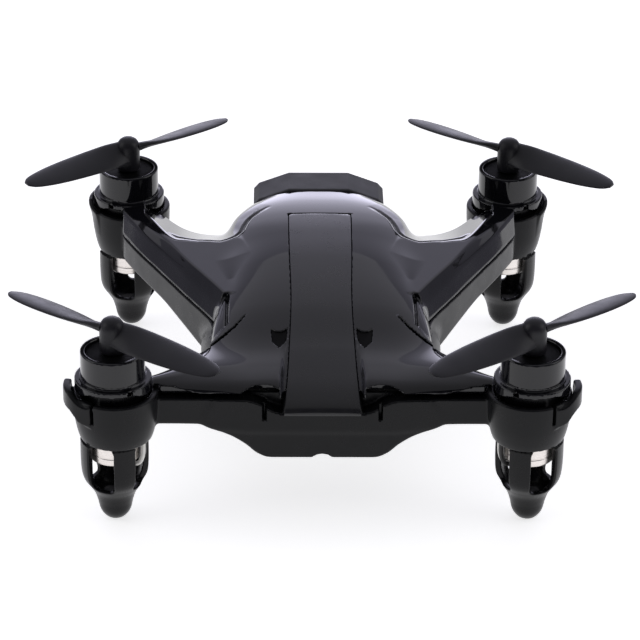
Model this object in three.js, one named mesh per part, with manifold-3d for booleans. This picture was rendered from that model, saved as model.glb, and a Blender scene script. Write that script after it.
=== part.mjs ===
// Mini palm drone. Millimetres, +Z up, nose towards -Y, origin on the ground under the middle.
import * as THREE from 'three';
import { mergeVertices } from 'three/addons/utils/BufferGeometryUtils.js';
import Module from 'manifold-3d';

const wasm = await Module();
wasm.setup();

// ---------------------------------------------------------------- driving dimensions
const POD = 28.75;             // the four motor axes stand at (+-POD, +-POD)
const SPLIT_Z = 19.2;          // the upper shell meets the lower chassis here
const SEAM = 0.2;              // open seam between the two mouldings
const GAP = 0.3;               // clearance between fitted pieces
const ROUND = 18;              // sides of a round body
const WALL = 1.1;              // moulding wall
const NOSE_WALL = 3.4;         // solid nose, which closes the hollows beside the tongue

// body
const NOSE_Y = -29.6;
const SHELL_TAIL_Y = 23.6;
const TAIL_Y = 31.0;
const TAIL_TOP = 25.1;
const BELLY_Z = 9.8;
const BELLY_FLAT = 7.2;        // half width of the flat belly
const NOSE_LIP_Y = -30.4;      // the tongue down the middle of the nose ends here
const NOSE_LIP_HALF = 5.6;
const HALF_WIDTH = [[-29.6, 13.2], [-24, 14.2], [-16, 15.6], [-9, 15.4], [-2, 14.6], [6, 13.8],
  [13, 13.9], [18, 13.6], [21, 12.4], [23.6, 10.6]];
const TUB_FLARE = [[-29.6, 2.8], [-22, 1.2], [-14, 1.0], [-8, 1.8], [0, 1.6], [10, 0.8], [23.6, 0.4]];
const HOOD_Z = [[-29.6, 20.3], [-27, 20.9], [-24, 21.3], [-19.8, 21.9], [-10.5, 24.3], [0, 25.8],
  [8, 26.2], [14, 26.1], [19, 25.7], [23.6, 25.0]];
const TONGUE_Z = [[-30.4, 17.7], [-29.4, 18.5], [-27, 19.7], [-24, 20.7], ...HOOD_Z.slice(3)];
const TONGUE_THICK = 1.0;
const TRIM_HALF = [[-30.4, 5.3], [-26, 4.9], [-20, 4.6], [-10, 4.3], [2, 4.5], [14, 4.6], [23.6, 4.6]];
const TRIM_THICK = 0.4;
const TRIM_TAIL_Y = 14.0;      // the strip stops short of the shell's rear edge

// arms: the rails at the seam, from body to pod: [outer x, outer y, inner x, inner y, top z, keel z]
const FRONT_ARM = [[10.0, -29.4, 10.0, -14.0, 21.0, 14.2], [14.0, -29.6, 14.0, -16.0, 21.5, 14.6],
  [17.5, -29.6, 17.5, -19.4, 21.7, 15.0], [20.5, -29.6, 20.5, -23.0, 21.9, 15.0],
  [23.4, -29.6, 23.4, -25.4, 22.1, 15.0], [28.0, -29.6, 28.0, -27.6, 22.2, 15.0]];
const REAR_ARM = [[10.0, -9.0, 7.0, 12.0, 22.6, 12.4], [15.0, -8.0, 11.0, 17.6, 23.0, 12.6],
  [17.4, -4.2, 14.6, 18.4, 22.8, 13.2], [20.2, 1.4, 18.0, 19.2, 22.5, 14.2],
  [23.4, 7.8, 20.8, 21.4, 22.3, 15.0], [29.4, 20.6, 24.6, 27.0, 22.2, 15.2],
  [31.0, 24.6, 26.2, 29.4, 22.2, 15.2]];

// motor pods
const RING_R = 4.45;           // tube round the top of each motor
const RING_BORE = 3.75;
const RING_TOP = 26.5;
const COLLAR_R = 5.3;
const COLLAR_LOW = 21.6;
const COLLAR_TOP = 22.4;
const CUP_SHIFT = 0.3;         // the cup stands this far towards the body from the motor axis
const CUP_RIM = 20.3;
const CUP_LOW = 13.1;
const CUP_BORE = 4.6;
// guard clip sections, [radius, z]: a hook and its root on a front pod, a lug on a rear one
const HOOK = [[5.8, 18.6], [6.5, 18.6], [6.86, 20.0], [6.86, 21.3], [5.8, 21.3], [5.8, 18.6]];
const HOOK_ROOT = [[4.9, 17.2], [5.7, 17.2], [6.5, 18.7], [6.5, 19.8], [4.9, 19.8], [4.9, 17.2]];
const LUG = [[4.9, 17.0], [5.4, 17.0], [5.75, 19.2], [6.14, 20.5], [6.14, 21.3], [5.6, 21.3],
  [5.6, 20.0], [4.9, 20.0], [4.9, 17.0]];
const LEG_R = 4.72;
const LEG_BORE = 3.8;
const SLEEVE_R = 4.3;
const SLEEVE_TOP = 21.2;
const FOOT_FLOOR = 3.6;
const WINDOW_LOW = 5.7;
const WINDOW_TOP = 12.9;
const WINDOW_ANGLE = 50;
const FRONT_WINDOW = -24;      // first window of a left pod, degrees from +X
const REAR_WINDOW = -15;

// motor and propeller
const CAN_R = 3.5;
const CAN_LOW = 9.9;
const CAN_TOP = 25.9;
const SHAFT_R = 0.5;
const SHAFT_TOP = 30.2;
const HUB_R = 1.74;
const HUB_LOW = 26.3;
const HUB_TOP = 31.4;
const HUB_BORE = 0.8;
const BLADE_R = 18.8;
const BLADE_Z = 29.1;
const PARK_ANGLE = 38.5;       // blades at rest, degrees from the X axis
// blade stations: [radius, chord, pitch in degrees, thickness]
const BLADE = [[1.2, 2.6, 30, 1.3], [2.6, 3.5, 27, 1.1], [4.6, 4.5, 21, 0.85], [7.5, 5.0, 17, 0.7],
  [11, 4.9, 13.5, 0.6], [14.2, 4.4, 11, 0.5], [16.6, 3.5, 9.5, 0.45], [18, 2.3, 9, 0.4],
  [BLADE_R, 0.8, 9, 0.3]];
const LEAD_R = 0.32;
const LEAD_ORBIT = 4.15;
const LEAD_SPACING = 0.9;
const CHANNEL_HALF = 1.8;      // half width of the lead channel in an arm
const LEAD_ANGLE = { front: -11, rear: -28 };   // where the leads climb, as for the windows

// inside
const BOARD = { half: 10.6, y0: -17.5, y1: 13.5, z: 19.6, thick: 0.9 };
const CELL = { half: 7.0, y0: -16.5, y1: 12.5, z0: 11.7, z1: 18.2 };
const SCREWS = [[6.2, -21.5], [6.2, 16.8]];
const SCOOP = { x: 6.0, y: -17.8, length: 4.0, half: 1.15, depth: 1.6 };
const SWITCH_Y = 19.4;
const SWITCH_TRAVEL = 2.0;
const SOCKET_Z = 16.4;
const BELLY_VENT = { x0: 7.4, x1: 11.5, y0: -12.5, y1: 1.5 };   // under the room beside the cell
const WIRE_R = 0.4;             // battery leads and aerial

// ---------------------------------------------------------------- helpers
const rad = THREE.MathUtils.degToRad;

// Smooth curve through [position, value] points, with slopes from their neighbours.
function profile(points, at) {
  const last = points.length - 1;
  if (at <= points[0][0]) return points[0][1];
  if (at >= points[last][0]) return points[last][1];
  const k = points.findIndex((p, n) => n < last && at <= points[n + 1][0]);
  const slope = (n) => {
    const a = points[Math.max(n - 1, 0)];
    const b = points[Math.min(n + 1, last)];
    return (b[1] - a[1]) / (b[0] - a[0]);
  };
  const span = points[k + 1][0] - points[k][0];
  const t = (at - points[k][0]) / span;
  const rise = points[k + 1][1] - points[k][1];
  const ease = t * t * (3 - 2 * t);
  const bend = (t - 2 * t * t + t ** 3) * slope(k) + (t ** 3 - t * t) * slope(k + 1);
  return points[k][1] + rise * ease + bend * span;
}

function signedVolume(positions, index) {
  let sum = 0;
  for (let i = 0; i < index.length; i += 3) {
    const [a, b, c] = [0, 1, 2].map((j) => new THREE.Vector3().fromArray(positions, 3 * index[i + j]));
    sum += a.dot(b.cross(c)) / 6;
  }
  return sum;
}

// Closed body through rings of equal point count, with a fan over each end.
function loft(rings) {
  const count = rings[0].length;
  const positions = rings.flat(2);
  const index = [];
  for (let r = 0; r + 1 < rings.length; r += 1) {
    for (let i = 0; i < count; i += 1) {
      const a = r * count + i;
      const b = r * count + ((i + 1) % count);
      index.push(a, b, b + count, a, b + count, a + count);
    }
  }
  for (const [r, flip] of [[0, true], [rings.length - 1, false]]) {
    const middle = [0, 1, 2].map((k) => rings[r].reduce((s, p) => s + p[k], 0) / count);
    const hub = positions.length / 3;
    positions.push(...middle);
    for (let i = 0; i < count; i += 1) {
      const a = r * count + i;
      const b = r * count + ((i + 1) % count);
      if (flip) index.push(hub, b, a);
      else index.push(hub, a, b);
    }
  }
  if (signedVolume(positions, index) < 0) index.reverse();
  const geometry = new THREE.BufferGeometry();
  geometry.setAttribute('position', new THREE.Float32BufferAttribute(positions, 3));
  geometry.setIndex(index);
  return geometry;
}

// Positions only, with shared corners.
function indexed(geometry) {
  const bare = geometry.clone();
  bare.deleteAttribute('normal');
  bare.deleteAttribute('uv');
  return mergeVertices(bare, 1e-4);
}

// A three.js geometry as a solid that can be joined and cut.
function solid(geometry, place = new THREE.Matrix4()) {
  const merged = indexed(geometry).applyMatrix4(place);
  return new wasm.Manifold(new wasm.Mesh({
    numProp: 3,
    vertProperties: new Float32Array(merged.attributes.position.array),
    triVerts: new Uint32Array(merged.index.array),
  }));
}

const at = (x, y, z) => new THREE.Matrix4().makeTranslation(x, y, z);
const union = (parts) => parts.reduce((a, b) => a.add(b));

function box(x0, x1, y0, y1, z0, z1) {
  const geometry = new THREE.BoxGeometry(x1 - x0, y1 - y0, z1 - z0);
  return solid(geometry, at((x0 + x1) / 2, (y0 + y1) / 2, (z0 + z1) / 2));
}

// Round body about a vertical axis; the profile is [radius, z] points.
function turned(points, x = 0, y = 0, segments = ROUND) {
  const outline = points.map(([r, z]) => new THREE.Vector2(r, z));
  const geometry = new THREE.LatheGeometry(outline, segments);
  const place = at(x, y, 0).multiply(new THREE.Matrix4().makeRotationX(Math.PI / 2));
  return orient(geometry, place);
}

// Solid of a lathe or other geometry whose faces may point inwards after placing.
function orient(geometry, place) {
  const body = geometry.clone().applyMatrix4(place);
  const positions = body.attributes.position.array;
  const index = Array.from(body.index.array);
  if (signedVolume(positions, index) < 0) body.setIndex(index.reverse());
  return solid(body);
}

const rod = (radius, z0, z1, x = 0, y = 0, segments = 24) =>
  turned([[0, z0], [radius, z0], [radius, z1], [0, z1]], x, y, segments);

// Prism over a closed XY outline.
function prism(outline, z0, z1) {
  const shape = new THREE.Shape(outline.map(([x, y]) => new THREE.Vector2(x, y)));
  const geometry = new THREE.ExtrudeGeometry(shape, { depth: z1 - z0, bevelEnabled: false });
  return solid(geometry, at(0, 0, z0));
}

// Round-sided tube along a smooth curve through points.
function tube(points, radius, steps) {
  const curve = new THREE.CatmullRomCurve3(points.map((p) => new THREE.Vector3(...p)), false, 'centripetal');
  const section = new THREE.Shape();
  section.absarc(0, 0, radius, 0, 2 * Math.PI);
  const options = { steps, extrudePath: curve, curveSegments: 3, bevelEnabled: false };
  return orient(indexed(new THREE.ExtrudeGeometry(section, options)), new THREE.Matrix4());
}

const model = new THREE.Group();

function addNode(name, body, material) {
  const mesh = body.getMesh();
  const geometry = new THREE.BufferGeometry();
  geometry.setAttribute('position', new THREE.Float32BufferAttribute(mesh.vertProperties, 3));
  geometry.setIndex(Array.from(mesh.triVerts));
  geometry.computeVertexNormals();
  const node = new THREE.Mesh(geometry, material);
  node.name = name;
  model.add(node);
}

const finish = (color, roughness, metalness = 0) =>
  new THREE.MeshStandardMaterial({ color, roughness, metalness });

const GLOSS_BLACK = () => finish(0x0c0d10, 0.08);
const SATIN_BLACK = () => finish(0x15161a, 0.38);
const MATTE_BLACK = () => finish(0x1c1d20, 0.6);
const BLADE_BLACK = () => finish(0x24252a, 0.5);
const MOTOR_STEEL = () => finish(0xcfcac4, 0.28, 1);
const DARK_STEEL = () => finish(0x8c8c8e, 0.35, 1);

// The four pods: sx and sy give the side, turn is +1 for propellers that turn anticlockwise.
const PODS = [['fl', -1, -1], ['fr', 1, -1], ['rl', -1, 1], ['rr', 1, 1]]
  .map(([tag, sx, sy]) => ({ tag, sx, sy, x: sx * POD, y: sy * POD, turn: sx * sy, front: sy < 0 }));

// ---------------------------------------------------------------- body sections
// Arch of the upper shell at station y, seen along Y.
function shellRing(y, inset) {
  const half = profile(HALF_WIDTH, y) - inset;
  const rise = profile(HOOD_Z, y) - inset * 1.5 - SPLIT_Z;
  const low = inset > 0 ? SPLIT_Z - 1 : SPLIT_Z + SEAM / 2;
  const ring = [[half, y, low]];
  const steps = 10;
  for (let i = 0; i <= steps; i += 1) {
    const a = (Math.PI * i) / steps;
    const side = Math.sign(Math.cos(a)) * Math.abs(Math.cos(a)) ** 0.72;
    ring.push([half * side, y, SPLIT_Z + 0.6 + (rise - 0.6) * Math.sin(a) ** 0.8]);
  }
  ring.push([-half, y, low]);
  return ring;
}

// Tub of the lower chassis at station y: sides that flare under the seam, then an S to the flat belly.
function tubRing(y, inset) {
  const half = profile(HALF_WIDTH, y) - inset;
  const wide = half + profile(TUB_FLARE, y);
  const top = inset > 0 ? SPLIT_Z + 1 : SPLIT_Z - SEAM / 2;
  const side = [[half, top], [wide - 0.5, 17.4], [wide, 15.9], [wide - 0.3, 14.7], [wide * 0.87, 13.8],
    [wide * 0.78, 13.1], [wide * 0.67, 11.9], [wide * 0.58, 10.6], [BELLY_FLAT, BELLY_Z]];
  const right = side.map(([x, z], n) => [x, y, n > 0 ? z + inset : z]);
  return [...right, ...right.map(([x, , z]) => [-x, y, z]).reverse()];
}

function stations(y0, y1, count) {
  return Array.from({ length: count }, (_, i) => y0 + ((y1 - y0) * i) / (count - 1));
}

// Arm of one pod, above or below the seam; fractions run from the outer to the inner rail.
const ARM_TOP = [[0, 0], [0.01, 0.62], [0.06, 0.9], [0.2, 1], [0.55, 1], [0.74, 0.86], [0.93, 0.42], [1, 0]];
const ARM_KEEL = [[0, 0], [0, 0.7], [0.08, 0.94], [0.26, 1], [0.7, 1], [0.92, 0.94], [1, 0.7], [1, 0]];

function arm(pod, upper) {
  const rails = pod.front ? FRONT_ARM : REAR_ARM;
  const section = upper ? ARM_TOP : ARM_KEEL;
  const base = SPLIT_Z + (upper ? SEAM : -SEAM) / 2;
  return solid(loft(rails.map(([ox, oy, ix, iy, top, keel]) => {
    const peak = upper ? top : keel;
    return section.map(([across, up]) =>
      [pod.sx * (ox + (ix - ox) * across), oy + (iy - oy) * across, base + (peak - base) * up]);
  })));
}

// Channel in the lower arm for the motor leads, open at the seam.
function leadChannel(pod) {
  const centre = pod.front ? [[9, -18.6], [15.5, -23.6], [20.5, -26.9], [24, -28.2]]
    : [[9, 6], [17.5, 11.6], [24.6, 24]];
  const [low, high] = [17.2, SPLIT_Z + 1];
  const side = pod.front ? [0, CHANNEL_HALF] : [CHANNEL_HALF, -CHANNEL_HALF / 2];
  return solid(loft(centre.map(([x, y]) => [[1, low], [1, high], [-1, high], [-1, low]]
    .map(([k, z]) => [pod.sx * (x + k * side[0]), y + k * side[1], z]))));
}

// ---------------------------------------------------------------- upper shell and trim
function trimBody(spread, low, high, y0, y1) {
  return solid(loft(stations(y0, y1, 11).map((y) => {
    const half = profile(TRIM_HALF, y) + spread;
    const crown = profile(TONGUE_Z, y);
    const across = [1, 0.5, 0, -0.5, -1];
    const sag = (f) => crown - 0.16 * f * f;
    const top = across.map((f) => [half * f, y, sag(f) + high]);
    const bottom = across.map((f) => [-half * f, y, sag(f) - low]);
    return [...top, ...bottom];
  })));
}

// Tongue: the strip of shell that drops between the eyes, and the room above and below it.
function tongue(spread, above, below) {
  return solid(loft(stations(NOSE_LIP_Y, -19, 9).map((y) => {
    const half = NOSE_LIP_HALF - 0.1 * Math.max(0, y + 26) + spread;
    const z = profile(TONGUE_Z, y);
    return [[half, y, z + above], [-half, y, z + above], [-half, y, z - below], [half, y, z - below]];
  })));
}

function upperShell() {
  const outer = stations(NOSE_Y, SHELL_TAIL_Y, 12).map((y) => shellRing(y, 0));
  const inner = stations(NOSE_Y + NOSE_WALL, SHELL_TAIL_Y - WALL, 6).map((y) => shellRing(y, WALL));
  let shell = solid(loft(outer));
  const hollow = solid(loft(inner));
  for (const pod of PODS) {
    const collar = rod(COLLAR_R, COLLAR_LOW, COLLAR_TOP, pod.x, pod.y, ROUND);
    const ring = rod(RING_R, COLLAR_LOW, RING_TOP, pod.x, pod.y, ROUND);
    shell = union([shell, arm(pod, true), collar, ring]);
  }
  shell = shell.subtract(hollow).subtract(tongue(0, 5, 0)).add(tongue(0, 0, TONGUE_THICK));
  for (const pod of PODS) {
    const cupX = pod.x - pod.sx * CUP_SHIFT;
    shell = shell.subtract(rod(6.0 + GAP, SPLIT_Z - 4, CUP_RIM + GAP, cupX, pod.y, ROUND));
    shell = shell.subtract(rod(SLEEVE_R + GAP, SPLIT_Z - 4, SLEEVE_TOP + GAP, pod.x, pod.y, ROUND));
    shell = shell.subtract(rod(RING_BORE, SPLIT_Z - 4, RING_TOP + 1, pod.x, pod.y, ROUND));
  }
  const bosses = screwPlaces().map(([x, y]) => rod(1.9, 16.3, profile(HOOD_Z, y) - 1.2, x, y, 12));
  shell = union([shell, ...bosses]);
  for (const [x, y] of screwPlaces()) shell = shell.subtract(rod(0.95, 15, 20.4, x, y, 10));
  shell = shell.subtract(trimBody(GAP / 2, TRIM_THICK + 0.1, 4, NOSE_LIP_Y + 0.6, TRIM_TAIL_Y + GAP / 2));
  for (const side of [-1, 1]) {
    shell = shell.subtract(scoop(side, 1, SCOOP.depth, 3));
    shell = shell.subtract(noseHollow(side));
  }
  addNode('upper_shell', shell, GLOSS_BLACK());
  const trim = trimBody(0, TRIM_THICK, 0, NOSE_LIP_Y + 0.6 + GAP / 2, TRIM_TAIL_Y);
  addNode('spine_trim', trim, SATIN_BLACK());
}

function screwPlaces() {
  return SCREWS.flatMap(([x, y]) => [[-x, y], [x, y]]);
}

// Shield-shaped scoop beside the trim, from so far below the crown to so far above it.
function scoop(side, scale, below, above) {
  const { x, y, length, half } = SCOOP;
  const crown = profile(HOOD_Z, y);
  const outline = [[0, -length / 2], [half * 0.8, -length * 0.1], [half, length / 2],
    [0, length * 0.375], [-half, length / 2], [-half * 0.8, -length * 0.1]]
    .map(([dx, dy]) => [side * x + dx * scale, y + dy * scale]);
  return prism(outline, crown - below, crown + above);
}

function noseHollow(side) {
  const x0 = side * (NOSE_LIP_HALF + 0.4);
  const x1 = side * (NOSE_LIP_HALF + 3.6);
  return box(Math.min(x0, x1), Math.max(x0, x1), NOSE_Y - 1, NOSE_Y + 2.2, SPLIT_Z - 1, SPLIT_Z + 0.9);
}

// Dark inserts that stand clear of the scoops' floors and walls.
function shoulderVents() {
  for (const [tag, side] of [['left', -1], ['right', 1]]) {
    const insert = scoop(side, 0.72, SCOOP.depth - GAP, -0.9);
    addNode(`shoulder_vent_${tag}`, insert, MATTE_BLACK());
  }
}

// ---------------------------------------------------------------- lower chassis
// Guard clip on the outboard wall of a cup; angles run from outboard towards the nose.
function guardClip(pod) {
  const reach = (a, r) => [pod.x + pod.sx * r * Math.cos(rad(a)), pod.y - r * Math.sin(rad(a))];
  const arc = (section, a0, a1) => {
    const wedge = prism([reach(a0, 4), ...stations(a0, a1, 5).map((a) => reach(a, 8)), reach(a1, 4)], 15, 23);
    return turned(section, pod.x, pod.y, 36).intersect(wedge);
  };
  return pod.front ? arc(HOOK, -12, 34).add(arc(HOOK_ROOT, 12, 54)) : arc(LUG, -60, 36);
}

function cup(pod) {
  const wall = [[0, CUP_LOW], [5.0, CUP_LOW], [5.35, 14.4], [5.65, 16.0], [5.8, 18.0],
    [5.85, CUP_RIM], [0, CUP_RIM]];
  return turned(wall, pod.x - pod.sx * CUP_SHIFT, pod.y, ROUND);
}

function lowerChassis() {
  const outer = stations(NOSE_Y, SHELL_TAIL_Y, 9).map((y) => tubRing(y, 0));
  const inner = stations(NOSE_Y + NOSE_WALL, SHELL_TAIL_Y - WALL, 6).map((y) => tubRing(y, WALL));
  let chassis = solid(loft(outer));
  let hollow = solid(loft(inner));
  for (const pod of PODS) {
    chassis = union([chassis, arm(pod, false), cup(pod), guardClip(pod)]);
    hollow = hollow.add(leadChannel(pod));
  }
  chassis = chassis.subtract(hollow);
  for (const pod of PODS) {
    const cupX = pod.x - pod.sx * CUP_SHIFT;
    chassis = chassis.add(cup(pod).subtract(hollow));
    chassis = chassis.subtract(rod(5.0, SPLIT_Z - 1.2, CUP_RIM + 1, cupX, pod.y, ROUND));
    chassis = chassis.subtract(rod(CUP_BORE, CUP_LOW - 1, CUP_RIM + 1, pod.x, pod.y, ROUND));
    const lead = pod.front ? LEAD_ANGLE.front : LEAD_ANGLE.rear;
    chassis = chassis.subtract(sector(pod, 4.2, 8.2, lead - 32, lead + 16, 16.5, SPLIT_Z + 2));
  }
  chassis = chassis.subtract(tongue(GAP, 5, TONGUE_THICK + GAP));
  for (const [x, y] of screwPlaces()) {
    chassis = chassis.add(rod(1.9, BELLY_Z + 0.5, 16.0, x, y, 12));
    chassis = chassis.subtract(rod(1.75, BELLY_Z - 1, BELLY_Z + 1.2, x, y, 12));
    chassis = chassis.subtract(rod(1.0, BELLY_Z - 1, 17, x, y, 10));
  }
  for (const side of [-1, 1]) {
    const [x0, x1] = [side * BELLY_VENT.x0, side * BELLY_VENT.x1].sort((a, b) => a - b);
    chassis = chassis.subtract(box(x0, x1, BELLY_VENT.y0, BELLY_VENT.y1, BELLY_Z - 1, 14.4));
  }
  const slotHalf = 1.0 + SWITCH_TRAVEL;
  const slot = box(-slotHalf, slotHalf, SWITCH_Y - 1.1, SWITCH_Y + 1.1, BELLY_Z - 1, BELLY_Z + 2);
  chassis = chassis.subtract(slot);
  const notch = orient(new THREE.CylinderGeometry(1.8, 1.8, 6, 16), at(0, NOSE_Y, BELLY_Z - 1.2));
  chassis = chassis.subtract(notch);
  for (const side of [-1, 1]) chassis = chassis.subtract(noseHollow(side));
  addNode('lower_chassis', chassis, SATIN_BLACK());
}

// Tail cover: faceted cap behind the upper shell.
function tailCover() {
  const ring = (y, inset, drop) => {
    const flat = 4.5 - inset * 0.4;
    const half = 9.8 - inset;
    const top = TAIL_TOP - inset - drop;
    const low = 12.2 + inset;
    const right = [[flat, top], [half - 0.8, top - 1.7], [half, top - 2.6], [half, low + 2], [half - 2, low]];
    return [...right, ...right.map(([x, z]) => [-x, z]).reverse()].map(([x, z]) => [x, y, z]);
  };
  const front = SHELL_TAIL_Y + GAP;
  const outer = solid(loft([ring(front, 0, 0), ring(TAIL_Y - 1.2, 0, 0), ring(TAIL_Y, 0.9, 0.2)]));
  const inner = solid(loft([ring(front - 1, WALL, 0), ring(TAIL_Y - WALL, WALL, 0)]));
  const mouth = box(-4.1, 4.1, TAIL_Y - 3, TAIL_Y + 1, SOCKET_Z - 1.7, SOCKET_Z + 1.7);
  addNode('tail_cover', outer.subtract(inner).subtract(mouth), MATTE_BLACK());
}

// ---------------------------------------------------------------- legs, motors, propellers
// Landing leg: a sleeve under the cup that opens into four ribs and closes in a round foot.
function landingLeg(pod) {
  const outside = [[0, 0], [0.9, 0.12], [1.6, 0.6], [2.15, 1.5], [2.5, 3.0], [2.95, 4.35], [3.6, 5.45],
    [4.3, 6.55], [4.6, 7.6], [LEG_R, 9.7], [LEG_R, CUP_LOW - GAP], [SLEEVE_R, CUP_LOW - GAP],
    [SLEEVE_R, SLEEVE_TOP], [0, SLEEVE_TOP]];
  const inside = [[0, FOOT_FLOOR], [1.7, FOOT_FLOOR + 0.5], [2.8, 5.6], [3.5, 6.9], [LEG_BORE, 8.2],
    [LEG_BORE, SLEEVE_TOP + 1], [0, SLEEVE_TOP + 1]];
  let leg = turned(outside, pod.x, pod.y, ROUND).subtract(turned(inside, pod.x, pod.y, ROUND));
  const first = pod.front ? FRONT_WINDOW : REAR_WINDOW;
  for (let n = 0; n < 4; n += 1) {
    const middle = first + 90 * n;
    leg = leg.subtract(sector(pod, 0.8, 7, middle - WINDOW_ANGLE / 2, middle + WINDOW_ANGLE / 2,
      WINDOW_LOW, WINDOW_TOP));
  }
  const lead = pod.front ? LEAD_ANGLE.front : LEAD_ANGLE.rear;
  leg = leg.subtract(sector(pod, 3, 7, lead - 14, lead + 14, WINDOW_TOP - 1, SLEEVE_TOP + 1));
  addNode(`landing_leg_${pod.tag}`, leg, SATIN_BLACK());
}

// Angles are for a left pod; a right pod is its mirror image.
const podAngle = (pod, a) => (pod.sx < 0 ? rad(a) : Math.PI - rad(a));

function sector(pod, r0, r1, a0, a1, z0, z1) {
  const sweep = stations(a0, a1, 3);
  const point = (a, r) => [pod.x + r * Math.cos(podAngle(pod, a)), pod.y + r * Math.sin(podAngle(pod, a))];
  const outline = [...sweep.map((a) => point(a, r1)), ...sweep.reverse().map((a) => point(a, r0))];
  return prism(outline, z0, z1);
}

function motor(pod) {
  const can = [[0.9, CAN_TOP - 0.5], [CAN_R - 0.35, CAN_TOP - 0.5], [CAN_R - 0.35, CAN_LOW + 0.1],
    [CAN_R - 0.2, CAN_LOW], [CAN_R, CAN_LOW + 0.3], [CAN_R, CAN_TOP - 0.2], [CAN_R - 0.2, CAN_TOP],
    [0.9, CAN_TOP], [0.9, CAN_TOP - 0.5]];
  addNode(`motor_can_${pod.tag}`, turned(can, pod.x, pod.y), MOTOR_STEEL());
  const cap = [[0, CAN_LOW + 0.2], [2.2, CAN_LOW + 0.2], [2.9, CAN_LOW + 0.5],
    [2.9, CAN_LOW + 1.6], [0, CAN_LOW + 1.6]];
  addNode(`motor_end_cap_${pod.tag}`, turned(cap, pod.x, pod.y, 12), MATTE_BLACK());
  addNode(`motor_shaft_${pod.tag}`, rod(SHAFT_R, CAN_LOW + 2, SHAFT_TOP, pod.x, pod.y, 8), DARK_STEEL());
}

// Copy of a route moved sideways in plan; upright stretches keep the side of the point before.
function beside(route, distance) {
  let side = [0, 0];
  return route.map((point, n) => {
    const before = route[Math.max(n - 1, 0)];
    const after = route[Math.min(n + 1, route.length - 1)];
    const run = [after[0] - before[0], after[1] - before[1]];
    const length = Math.hypot(...run);
    if (length > 0.5) side = [run[1] / length, -run[0] / length];
    return [point[0] + side[0] * distance, point[1] + side[1] * distance, point[2]];
  });
}

function motorLeads(pod) {
  const spoke = podAngle(pod, pod.front ? LEAD_ANGLE.front : LEAD_ANGLE.rear);
  const orbit = (r, z) => [pod.x + r * Math.cos(spoke), pod.y + r * Math.sin(spoke), z];
  const inward = pod.front ? [[22.2, -28.0], [19.5, -26.6], [15.5, -23.6], [11, -19.4]]
    : [[24.4, 23.8], [22, 17.5], [17.5, 11.6], [12.2, 8.6]];
  const route = [orbit(1.6, CAN_LOW - 0.15), orbit(2.4, CAN_LOW - 0.8), orbit(3.6, CAN_LOW - 0.6),
    orbit(LEAD_ORBIT, CAN_LOW + 1), orbit(LEAD_ORBIT, 13.5), orbit(LEAD_ORBIT, 16.8),
    orbit(LEAD_ORBIT + 1, 18.2)];
  for (const [x, y] of inward) route.push([pod.sx * x, y, 18.5]);
  const leads = [['black', -LEAD_SPACING / 2, 0x101012], ['white', LEAD_SPACING / 2, 0xe8e6e2]];
  for (const [name, offset, color] of leads) {
    addNode(`motor_lead_${name}_${pod.tag}`, tube(beside(route, offset), LEAD_R, 15), finish(color, 0.5));
  }
}

function propeller(pod) {
  const dome = [[HUB_R, HUB_TOP - 1.6], [HUB_R * 0.9, HUB_TOP - 0.85], [HUB_R * 0.6, HUB_TOP - 0.25]];
  const hub = [[HUB_BORE, HUB_LOW], [HUB_R, HUB_LOW], ...dome, [0, HUB_TOP],
    [0, SHAFT_TOP + GAP], [HUB_BORE, SHAFT_TOP + GAP], [HUB_BORE, HUB_LOW]];
  const park = -PARK_ANGLE * pod.turn;
  let body = turned(hub, pod.x, pod.y, 14);
  for (const side of [0, 180]) {
    const heading = rad(park + side);
    const along = [Math.cos(heading), Math.sin(heading)];
    const lead = [-along[1] * pod.turn, along[0] * pod.turn];
    const rings = BLADE.map(([r, chord, pitch, thick]) => Array.from({ length: 8 }, (_, i) => {
      const a = (2 * Math.PI * i) / 8;
      const u = (chord / 2) * Math.cos(a);
      const v = (thick / 2) * Math.sin(a);
      const flat = u * Math.cos(rad(pitch)) - v * Math.sin(rad(pitch));
      const up = u * Math.sin(rad(pitch)) + v * Math.cos(rad(pitch));
      return [pod.x + along[0] * r + lead[0] * flat, pod.y + along[1] * r + lead[1] * flat, BLADE_Z + up];
    }));
    body = body.add(solid(loft(rings)).subtract(rod(HUB_BORE + 0.3, 20, 40, pod.x, pod.y, 14)));
  }
  addNode(`propeller_${pod.tag}`, body, BLADE_BLACK());
}

// ---------------------------------------------------------------- inside pieces
function electronics() {
  const { half, y0, y1, z, thick } = BOARD;
  const corner = 3;
  const outline = [[half - corner, y0], [half, y0 + corner], [half, y1 - corner], [half - corner, y1],
    [-half + corner, y1], [-half, y1 - corner], [-half, y0 + corner], [-half + corner, y0]];
  addNode('circuit_board', prism(outline, z, z + thick), finish(0x123a2a, 0.45));
  const chipLow = z + thick + 0.05;
  addNode('flight_chip', box(-2.5, 2.5, -8, -3, chipLow, chipLow + 0.8), finish(0x18181a, 0.5));
  addNode('radio_chip', box(-2, 2, 2, 6, chipLow, chipLow + 0.8), finish(0x18181a, 0.5));
  addNode('motion_sensor', box(4.5, 7.5, -6, -3, chipLow, chipLow + 0.8), finish(0x18181a, 0.5));
  const aerial = [[-8, 10, 21], [-9.2, 14, 21], [-8, 18.5, 20.6], [-2, 20.4, 20.4], [4, 20.2, 20.4]];
  addNode('aerial_wire', tube(aerial, WIRE_R, 16), finish(0xd8d8d8, 0.5));
  addNode('battery_plug', box(-2.4, 2.4, 14.2, 16.4, 19.4, 21.4), finish(0xe6e2d6, 0.5));
}

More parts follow.
